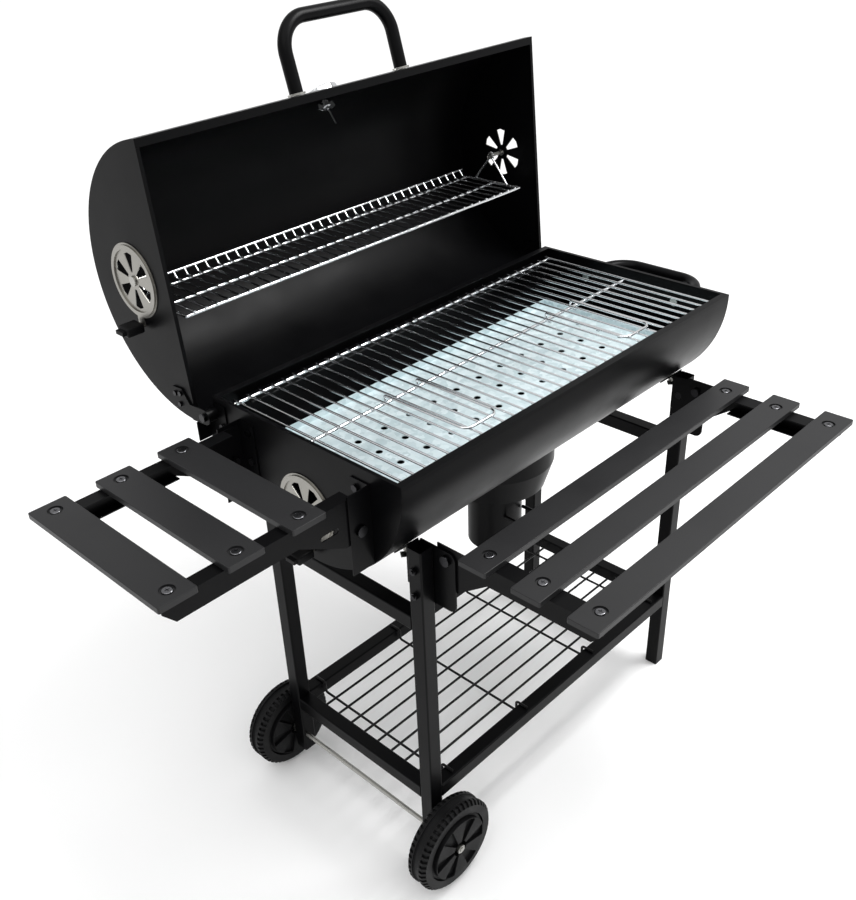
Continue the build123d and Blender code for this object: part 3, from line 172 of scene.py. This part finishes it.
# Cooking grates, bails and warming rack: drawn steel wire, welded and chrome
# plated, so that each wire mirrors the room as one bright line.
def plated_metal(name, colour, dark, rough_low, rough_high, scratch_scale, bump_depth):
    """Plated or polished metal with fine handling marks and gloss in 40 mm patches."""
    finish = new_finish(name)
    place = add(finish, "ShaderNodeTexCoord").outputs["Object"]
    marks = add(
        finish, "ShaderNodeTexNoise", {"Vector": place, "Scale": scratch_scale, "Detail": 5.0}
    )
    haze = add(finish, "ShaderNodeTexNoise", {"Vector": place, "Scale": 25.0, "Detail": 3.0})
    shade = add(finish, "ShaderNodeMix", {"Factor": marks.outputs["Fac"]}, data_type="RGBA")
    shade.inputs[6].default_value = linear(dark)
    shade.inputs[7].default_value = linear(colour)
    gloss = add(
        finish,
        "ShaderNodeMapRange",
        {
            "Value": haze.outputs["Fac"],
            "From Min": 0.3,
            "From Max": 0.7,
            "To Min": rough_low,
            "To Max": rough_high,
        },
    )
    bump = add(
        finish,
        "ShaderNodeBump",
        {"Height": marks.outputs["Fac"], "Strength": 0.2, "Distance": bump_depth},
    )
    shader = add(
        finish,
        "ShaderNodeBsdfPrincipled",
        {
            "Base Color": shade.outputs[2],
            "Metallic": 1.0,
            "Roughness": gloss.outputs["Result"],
            "Normal": bump.outputs["Normal"],
        },
    )
    add(finish, "ShaderNodeOutputMaterial", {"Surface": shader.outputs[0]})
    return finish


chrome = plated_metal("bright_chrome_wire", "#f0f1f2", "#d2d4d7", 0.1, 0.24, 900.0, 0.00003)
dress(chrome, "grate_left", "grate_right", "grate_left_bail", "grate_right_bail", "warming_rack")

# Damper discs: pressed stainless sheet, brushed to a grey bloom. The
# thermometer's case, probe and wing nut are chromed like the grates.
stainless = plated_metal(
    "brushed_stainless_sheet", "#a9a7a1", "#807e79", 0.24, 0.38, 1200.0, 0.00004
)
dress(stainless, "lid_damper_left_disc", "lid_damper_right_disc", "bowl_damper_disc")
dress(chrome, "thermometer_case", "thermometer_probe", "thermometer_wing_nut")

# Bolts, nuts, rivets and the axle: turned or headed steel. Most are bright zinc
# plated, the slats' screws are black passivated and the pivots black oxide.
zinc = plated_metal("zinc_plated_steel", "#bdbcb7", "#8f8e8a", 0.22, 0.38, 700.0, 0.00003)
dress(zinc, "lid_handle_fixings", "lid_damper_rivets", "bowl_damper_rivet")
dress(zinc, "saddle_fasteners", "pull_handle_fixings", "axle_rod", "axle_fittings")
dark_zinc = plated_metal("black_passivated_screw", "#858588", "#4c4c4f", 0.16, 0.3, 700.0, 0.00003)
dress(dark_zinc, "side_shelf_screws", "front_shelf_screws")
black_oxide = plated_metal("black_oxide_bolt", "#39393b", "#1c1c1e", 0.2, 0.34, 700.0, 0.00003)
dress(black_oxide, "lid_hinge_screws", "hinge_bolts", "shelf_bolts", "shelf_pivots")

# Charcoal pan: hot-dip galvanised sheet, its zinc frozen in pale blue-grey
# spangles about 9 mm across that differ in tone and gloss, with ragged edges.
galvanised = new_finish("galvanised_spangle_sheet")
place = add(galvanised, "ShaderNodeTexCoord").outputs["Object"]
wobble = add(galvanised, "ShaderNodeTexNoise", {"Vector": place, "Scale": 160.0, "Detail": 3.0})
warp = add(
    galvanised,
    "ShaderNodeVectorMath",
    {0: wobble.outputs["Color"], 1: (0.012, 0.012, 0.012), 2: place},
    operation="MULTIPLY_ADD",
)
spangle = add(galvanised, "ShaderNodeTexVoronoi", {"Vector": warp.outputs[0], "Scale": 110.0})
tone = add(galvanised, "ShaderNodeSeparateColor", {"Color": spangle.outputs["Color"]})
shade = add(galvanised, "ShaderNodeMix", {"Factor": tone.outputs[0]}, data_type="RGBA")
shade.inputs[6].default_value = linear("#b7c8cc")
shade.inputs[7].default_value = linear("#d6e2e5")
gloss = add(
    galvanised, "ShaderNodeMapRange", {"Value": tone.outputs[1], "To Min": 0.34, "To Max": 0.5}
)
bump = add(
    galvanised,
    "ShaderNodeBump",
    {"Height": tone.outputs[0], "Strength": 0.15, "Distance": 0.00005},
)
shader = add(
    galvanised,
    "ShaderNodeBsdfPrincipled",
    {
        "Base Color": shade.outputs[2],
        "Metallic": 0.2,
        "Roughness": gloss.outputs["Result"],
        "Normal": bump.outputs["Normal"],
    },
)
add(galvanised, "ShaderNodeOutputMaterial", {"Surface": shader.outputs[0]})
dress(galvanised, "charcoal_pan")


# Leg caps: injection-moulded black polypropylene, pushed into the open ends of
# the leg tubes. Its spark-eroded texture leaves it almost matt.
def moulded(name, dark, light, rough_low, rough_high, specular):
    """Moulded plastic with a matt grain and 30 mm flow marks in its gloss.

    The grain is drawn 0.8 mm across, coarser than life, so that it shows.
    """
    finish = new_finish(name)
    place = add(finish, "ShaderNodeTexCoord").outputs["Object"]
    grain = add(finish, "ShaderNodeTexNoise", {"Vector": place, "Scale": 1250.0, "Detail": 3.0})
    flow = add(finish, "ShaderNodeTexNoise", {"Vector": place, "Scale": 35.0, "Detail": 3.0})
    shade = add(finish, "ShaderNodeMix", {"Factor": flow.outputs["Fac"]}, data_type="RGBA")
    shade.inputs[6].default_value = linear(dark)
    shade.inputs[7].default_value = linear(light)
    gloss = add(
        finish,
        "ShaderNodeMapRange",
        {
            "Value": flow.outputs["Fac"],
            "From Min": 0.3,
            "From Max": 0.7,
            "To Min": rough_low,
            "To Max": rough_high,
        },
    )
    bump = add(
        finish,
        "ShaderNodeBump",
        {"Height": grain.outputs["Fac"], "Strength": 0.35, "Distance": 0.00012},
    )
    shader = add(
        finish,
        "ShaderNodeBsdfPrincipled",
        {
            "Base Color": shade.outputs[2],
            "Roughness": gloss.outputs["Result"],
            "IOR": 1.49,
            "Specular IOR Level": specular,
            "Normal": bump.outputs["Normal"],
        },
    )
    add(finish, "ShaderNodeOutputMaterial", {"Surface": shader.outputs[0]})
    return finish


black_plastic = moulded("moulded_black_polypropylene", "#070708", "#0f0f10", 0.4, 0.54, 0.12)
dress(black_plastic, "leg_end_caps")


# Tyres: blow-moulded plastic rings that press onto the hubs. Each has 48 lugs
# on both shoulders, staggered, and a plain band between two grooves.
def start_piece(name):
    """Names the new active piece and opens it for editing with nothing selected."""
    piece = bpy.context.active_object
    piece.name = name
    piece.data.name = name
    bpy.ops.object.mode_set(mode="EDIT")
    bpy.ops.mesh.select_mode(type="FACE")
    bpy.ops.mesh.select_all(action="DESELECT")
    return piece


def pick_faces(piece, wanted):
    """Selects the faces whose centre and normal pass the test."""
    bpy.ops.mesh.select_all(action="DESELECT")
    bpy.ops.object.mode_set(mode="OBJECT")
    for face in piece.data.polygons:
        face.select = wanted(face.center, face.normal)
    bpy.ops.object.mode_set(mode="EDIT")


def push_faces(shift):
    """Extrudes the selected faces along their normals: outwards when below zero."""
    bpy.ops.mesh.extrude_region_shrink_fatten(TRANSFORM_OT_shrink_fatten={"value": shift})


def on_side(normal):
    """True for a face square to the wheel's axle."""
    return abs(normal.z) > 0.9


def off_axle(point):
    """Distance from the wheel's own axle line."""
    return Vector((point.x, point.y)).length


def bore_through(piece, reach):
    """Opens the middle face on both sides and joins the two holes with a wall."""
    pick_faces(piece, lambda centre, normal: on_side(normal) and off_axle(centre) < reach)
    bpy.ops.mesh.delete(type="FACE")
    bpy.ops.mesh.select_mode(type="EDGE")
    bpy.ops.mesh.select_all(action="DESELECT")
    bpy.ops.mesh.select_non_manifold()
    bpy.ops.mesh.bridge_edge_loops()


def settle(piece, finish, smooth_deg):
    """Closes editing, puts the piece's place into its mesh and gives it its finish."""
    bpy.ops.mesh.select_all(action="SELECT")
    bpy.ops.mesh.remove_doubles(threshold=0.00001)
    bpy.ops.mesh.normals_make_consistent(inside=False)
    bpy.ops.object.mode_set(mode="OBJECT")
    bpy.ops.object.select_all(action="DESELECT")
    piece.select_set(True)
    bpy.context.view_layer.objects.active = piece
    bpy.ops.object.transform_apply(location=True, rotation=True, scale=True)
    bpy.ops.object.shade_smooth_by_angle(angle=math.radians(smooth_deg))
    piece.data.materials.clear()
    piece.data.materials.append(finish)


def soften(piece, width, segments):
    """Rounds the sharp edges of a finished piece slightly."""
    rounding = piece.modifiers.new("edge_rounding", "BEVEL")
    rounding.width = width
    rounding.segments = segments
    rounding.limit_method = "ANGLE"
    rounding.angle_limit = math.radians(40)
    bpy.ops.object.modifier_apply(modifier=rounding.name)
    bpy.ops.object.shade_smooth_by_angle(angle=math.radians(30))


def centre_of(name):
    """Middle of a CAD node's box."""
    low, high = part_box(name)
    return Vector([(a + b) / 2 for a, b in zip(low, high)])


tyre_plastic = moulded("blow_moulded_tyre_plastic", "#080809", "#101011", 0.4, 0.54, 0.16)
bar_count = 96
bar_deg = 360 / bar_count
tyre_r = 0.084
tyre_half_width = 0.019
lug_height = 0.0042
lug_clearance = 0.0002
band_clearance = 0.0006
carcass_r = tyre_r - lug_height
shoulder_inset = 0.0055
side_wall_inset = 0.0137
hub_seat_reach = 0.03
tread_squeeze = 0.72
tread_reach = 0.074
band_half_width = 0.006
lug_from = 0.009
groove_edges = (-0.0085, -0.0065, 0.0065, 0.0085)


def on_tread(centre, normal):
    """True for a face of the tread that looks outwards."""
    outward = normal.x * centre.x + normal.y * centre.y > 0.3 * off_axle(centre)
    return outward and off_axle(centre) > tread_reach


def bears_lug(centre, normal):
    """True for every second bar of a shoulder, staggered between the two sides."""
    around = math.degrees(math.atan2(centre.y, centre.x))
    bar = int(round((around - bar_deg / 2) / bar_deg))
    on_shoulder = on_tread(centre, normal) and abs(centre.z) > lug_from
    return on_shoulder and bar % 2 == (0 if centre.z > 0 else 1)


for end in ("front", "back"):
    node_name = "wheel_" + end + "_tyre"
    middle = centre_of(node_name)
    bpy.ops.object.select_all(action="DESELECT")
    bpy.ops.mesh.primitive_cylinder_add(
        vertices=bar_count,
        radius=carcass_r,
        depth=2 * tyre_half_width,
        location=middle,
        rotation=(math.radians(90), 0, 0),
    )
    tyre = start_piece("tyre_" + end)
    pick_faces(tyre, lambda centre, normal: on_side(normal))
    bpy.ops.mesh.inset(thickness=shoulder_inset)
    pick_faces(
        tyre, lambda centre, normal: on_side(normal) and off_axle(centre) < hub_seat_reach
    )
    bpy.ops.mesh.inset(thickness=side_wall_inset)
    bore_through(tyre, hub_seat_reach)
    bpy.ops.mesh.select_mode(type="VERT")
    bpy.ops.mesh.select_all(action="DESELECT")
    bpy.ops.object.mode_set(mode="OBJECT")
    for point in tyre.data.vertices:
        point.select = off_axle(point.co) > carcass_r - 0.0005
    bpy.ops.object.mode_set(mode="EDIT")
    bpy.ops.transform.resize(value=(1.0, tread_squeeze, 1.0))
    bpy.ops.mesh.select_mode(type="FACE")
    for cut in groove_edges:
        bpy.ops.mesh.select_all(action="SELECT")
        at = middle + Vector((0, cut, 0))
        bpy.ops.mesh.bisect(plane_co=at, plane_no=(0, 1, 0))
    pick_faces(tyre, bears_lug)
    push_faces(lug_clearance - lug_height)
    pick_faces(
        tyre,
        lambda centre, normal: on_tread(centre, normal) and abs(centre.z) < band_half_width,
    )
    push_faces(band_clearance - lug_height)
    settle(tyre, tyre_plastic, 28.0)
    soften(tyre, 0.0005, 1)
    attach(tyre, "wheel_" + end)
    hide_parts(node_name)

# Wheel hubs: injection-moulded black polypropylene, dished on both faces, with
# six raised spokes round a boss that is bored for the axle.
hub_r = 0.0597
hub_width = 0.031
rim_width = 0.005
dish_depth = 0.0085
dish_draft = 0.0015
boss_r = 0.0135
boss_height = 0.0095
bore_r = 0.00412
spoke_height = 0.0055
spoke_pitch_deg = 60
spoke_half_deg = 11
spoke_gap = 0.002


def on_spoke(centre, normal):
    """True for the dish's faces under the six spokes, clear of boss and rim."""
    around = math.degrees(math.atan2(centre.y, centre.x)) + 6.5 * spoke_pitch_deg
    turned = abs(around % spoke_pitch_deg - spoke_pitch_deg / 2)
    dish_r = hub_r - rim_width - dish_draft
    across = boss_r + spoke_gap < off_axle(centre) < dish_r - spoke_gap
    return on_side(normal) and across and turned < spoke_half_deg


for end in ("front", "back"):
    node_name = "wheel_" + end + "_hub"
    bpy.ops.object.select_all(action="DESELECT")
    bpy.ops.mesh.primitive_cylinder_add(
        vertices=84,
        radius=hub_r,
        depth=hub_width,
        location=centre_of(node_name),
        rotation=(math.radians(90), 0, 0),
    )
    hub = start_piece("hub_" + end)
    pick_faces(hub, lambda centre, normal: on_side(normal))
    bpy.ops.mesh.inset(thickness=rim_width)
    push_faces(dish_depth)
    bpy.ops.mesh.inset(thickness=dish_draft)
    bpy.ops.mesh.inset(thickness=hub_r - rim_width - dish_draft - boss_r)
    push_faces(-boss_height)
    pick_faces(hub, on_spoke)
    push_faces(-spoke_height)
    pick_faces(hub, lambda centre, normal: on_side(normal) and off_axle(centre) < bore_r / 2)
    bpy.ops.mesh.inset(thickness=boss_r - bore_r)
    bore_through(hub, bore_r / 2)
    settle(hub, black_plastic, 30.0)
    soften(hub, 0.0007, 2)
    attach(hub, "wheel_" + end)
    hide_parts(node_name)

# Damper grips: a block of the same black polypropylene with rounded corners,
# hollowed from its outer end and pushed over the bent tab of the disc.
grip_corner = 0.0028
grip_lip = 0.0012
grip_hollow = 0.006
for damper in ("lid_damper_left", "lid_damper_right", "bowl_damper"):
    low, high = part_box(damper + "_grip")
    size = [b - a for a, b in zip(low, high)]
    bpy.ops.object.select_all(action="DESELECT")
    bpy.ops.mesh.primitive_cube_add(size=1.0, location=centre_of(damper + "_grip"), scale=size)
    bpy.ops.object.transform_apply(location=False, rotation=False, scale=True)
    grip = start_piece(damper + "_grip_moulding")
    out = 1.0 if damper == "lid_damper_right" else -1.0
    bpy.ops.mesh.select_all(action="SELECT")
    bpy.ops.mesh.bevel(offset=grip_corner, segments=3, affect="EDGES")
    pick_faces(grip, lambda centre, normal: normal.x * out > 0.99)
    bpy.ops.mesh.inset(thickness=grip_lip)
    push_faces(grip_hollow)
    settle(grip, black_plastic, 40.0)
    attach(grip, damper)
    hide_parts(damper + "_grip")

# Thermometer dial: a white enamelled disc with thirteen printed scale marks,
# every third one longer, on an arc that is open at the bottom.
enamel = moulded("white_enamelled_dial", "#dcdad2", "#ece9e0", 0.3, 0.4, 0.5)
dress(enamel, "thermometer_dial")
scale_ink = moulded("black_scale_ink", "#101011", "#1c1c1d", 0.4, 0.5, 0.3)
dial_tilt = math.radians(52.0)
dial_out = Vector((0, math.cos(dial_tilt), math.sin(dial_tilt)))
dial_up = Vector((0, -math.sin(dial_tilt), math.cos(dial_tilt)))
dial_face = centre_of("thermometer_case") + dial_out * -0.0014
mark_count = 13
mark_step_deg = 20
first_mark_deg = -30
mark_ring_r = 0.021
mark_width = 0.0011
mark_thickness = 0.0003
for mark in range(mark_count):
    turn = math.radians(first_mark_deg + mark_step_deg * mark)
    ray = Vector((1, 0, 0)) * math.cos(turn) + dial_up * math.sin(turn)
    side = dial_out.cross(ray)
    at = dial_face + ray * mark_ring_r
    mark_length = 0.006 if mark % 3 == 0 else 0.0035
    bpy.ops.object.select_all(action="DESELECT")
    bpy.ops.mesh.primitive_cube_add(
        size=1.0, location=(0, 0, 0), scale=(mark_length, mark_width, mark_thickness)
    )
    bpy.ops.object.transform_apply(location=False, rotation=False, scale=True)
    tick = start_piece("dial_mark_%02d" % mark)
    bpy.ops.mesh.select_all(action="SELECT")
    bpy.ops.mesh.bevel(offset=mark_thickness / 3, segments=1, affect="EDGES")
    bpy.ops.object.mode_set(mode="OBJECT")
    tick.matrix_world = Matrix(
        (
            (ray.x, side.x, dial_out.x, at.x),
            (ray.y, side.y, dial_out.y, at.y),
            (ray.z, side.z, dial_out.z, at.z),
            (0, 0, 0, 1),
        )
    )
    bpy.ops.object.mode_set(mode="EDIT")
    settle(tick, scale_ink, 30.0)
    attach(tick, "lid")

# Thermometer lens: a disc of clear glass, polished on both faces and pressed
# into the case, so that the scale reads through it with hardly any tint.
lens = new_finish("clear_dial_lens")
shader = add(
    lens,
    "ShaderNodeBsdfPrincipled",
    {
        "Base Color": linear("#f4f8f8"),
        "Roughness": 0.03,
        "IOR": 1.5,
        "Transmission Weight": 1.0,
    },
)
add(lens, "ShaderNodeOutputMaterial", {"Surface": shader.outputs[0]})
dress(lens, "thermometer_lens")

# Floor: a plain pale sheet of painted board under the object, dull enough to
# show its soft shadow and no mirror image.
bpy.ops.object.select_all(action="DESELECT")
bpy.ops.mesh.primitive_plane_add(size=30.0, location=(0, 0, -0.0005))
floor = bpy.context.active_object
floor.name = "studio_floor"
floor_paint = new_finish("pale_floor")
place = add(floor_paint, "ShaderNodeTexCoord").outputs["Object"]
mottle = add(floor_paint, "ShaderNodeTexNoise", {"Vector": place, "Scale": 2.0, "Detail": 2.0})
shade = add(floor_paint, "ShaderNodeMix", {"Factor": mottle.outputs["Fac"]}, data_type="RGBA")
shade.inputs[6].default_value = linear("#fbfbfb")
shade.inputs[7].default_value = linear("#ffffff")
shader = add(
    floor_paint,
    "ShaderNodeBsdfPrincipled",
    {"Base Color": shade.outputs[2], "Roughness": 0.9, "Specular IOR Level": 0.1},
)
add(floor_paint, "ShaderNodeOutputMaterial", {"Surface": shader.outputs[0]})
floor.data.materials.append(floor_paint)
floor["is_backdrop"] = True

# Light: a dim white surround under one broad even source high at the front
# left, with a soft panel over the right end that shows inside the lid.
sky = bpy.data.worlds.new("studio_surround")
bpy.context.scene.world = sky
sky.use_nodes = True
sky.node_tree.nodes["Background"].inputs["Color"].default_value = (1.0, 1.0, 1.0, 1.0)
sky.node_tree.nodes["Background"].inputs["Strength"].default_value = 0.75


def aimed_lamp(name, kind, place, aim):
    """A lamp of one kind, placed and turned towards a point."""
    lamp = bpy.data.lights.new(name, kind)
    holder = bpy.data.objects.new(name, lamp)
    bpy.context.scene.collection.objects.link(holder)
    holder.location = place
    holder.rotation_euler = (Vector(aim) - Vector(place)).to_track_quat("-Z", "Y").to_euler()
    return lamp


broad = aimed_lamp("broad_overhead", "SUN", (-1.2, -1.0, 4.0), (0.0, 0.0, 0.5))
broad.energy = 1.25
broad.angle = math.radians(70)
panel = aimed_lamp("panel_lid", "AREA", (0.95, -0.5, 2.35), (-0.1, 0.25, 0.85))
panel.shape = "RECTANGLE"
panel.size = 0.7
panel.size_y = 0.9
panel.energy = 40

# Camera: held at eye height ahead and to the left of the barbecue, looking
# down on it along its own back axis.
view = bpy.data.cameras.new("camera")
view.sensor_fit = "HORIZONTAL"
view.sensor_width = 36.0
view.lens = 43.87
view.shift_x = 0.0289
view.shift_y = 0.0417
camera = bpy.data.objects.new("camera", view)
bpy.context.scene.collection.objects.link(camera)
right = Vector((0.69919, -0.71338, -0.04709))
up = Vector((0.41276, 0.34901, 0.84132))
back = Vector((-0.58375, -0.60768, 0.53848))
stand_at = Vector((-1.0120, -0.9433, 1.4589))
camera.matrix_world = Matrix(
    (
        (right.x, up.x, back.x, stand_at.x),
        (right.y, up.y, back.y, stand_at.y),
        (right.z, up.z, back.z, stand_at.z),
        (0, 0, 0, 1),
    )
)
bpy.context.scene.camera = camera
bpy.context.scene.view_settings.view_transform = "Standard"

low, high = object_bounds()
